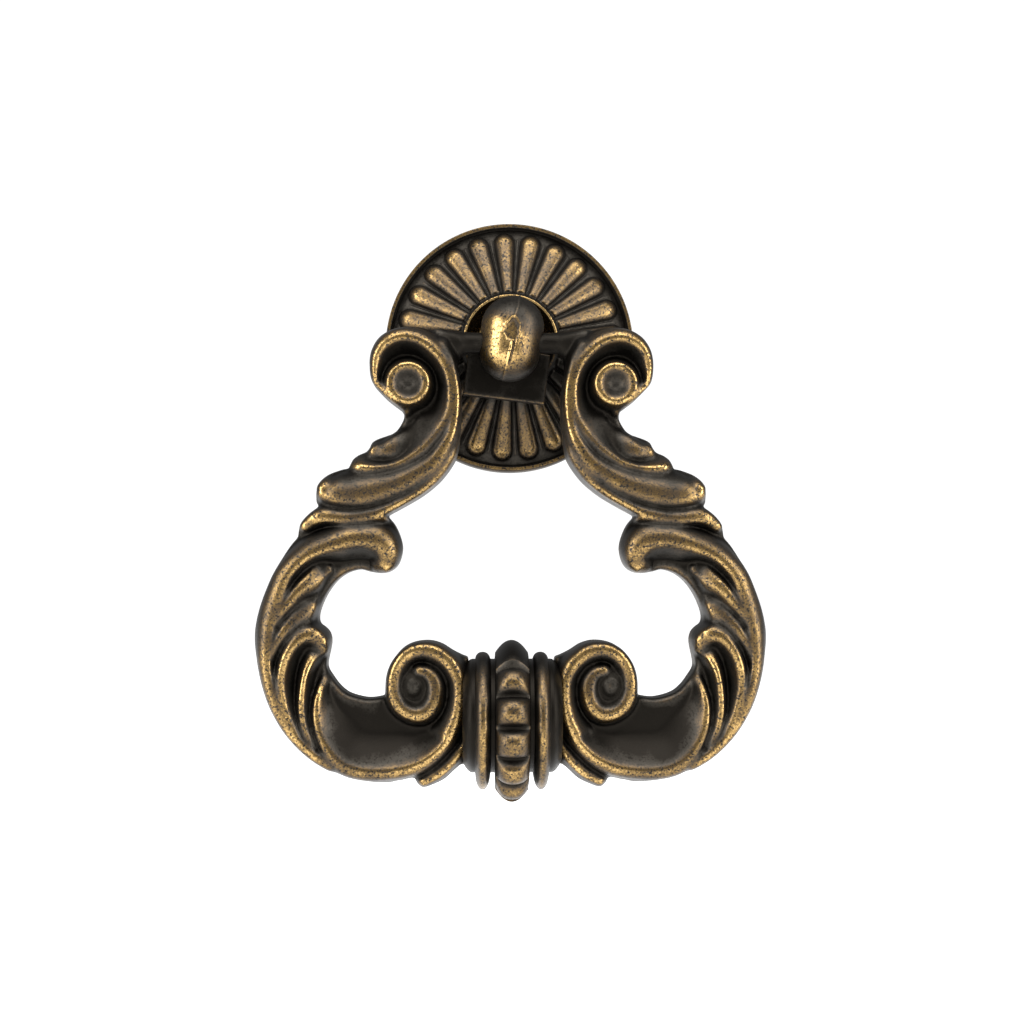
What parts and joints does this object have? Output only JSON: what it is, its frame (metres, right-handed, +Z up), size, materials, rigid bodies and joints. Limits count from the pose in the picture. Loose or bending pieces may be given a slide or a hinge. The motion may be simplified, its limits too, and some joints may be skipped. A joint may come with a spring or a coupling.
{
  "type": "ring pull handle",
  "caption": "Drop pull with a fluted domed backplate, an egg-shaped post and a scrolled bail that swings on its own stub pins.",
  "frame": {"origin": "middle of the post's back end, on the axis of its screw hole, in the plane of the drawer face", "axes": "-Y out of the drawer face towards the user, +Y along the screw into the drawer, +Z up, +X to the right as the user sees it"},
  "size_m": [0.0462, 0.0155, 0.0542],
  "materials": {
    "rosette": "antique bronze, dark in the hollows and rubbed back on the high edges",
    "post": "antique bronze, dark in the hollows and rubbed back on the high edges",
    "bail": "antique bronze, dark in the hollows and rubbed back on the high edges"
  },
  "bodies": {
    "base": {"rosette": "rosette", "post": "post"},
    "bail": {"bail": "bail"}
  },
  "joints": [
    {"name": "bail_hinge", "type": "hinge", "parent": "base", "child": "bail", "pos_m": [0, -0.0082, -0.0006], "axis": [-1, 0, 0], "range_deg": [0, 180]}
  ]
}
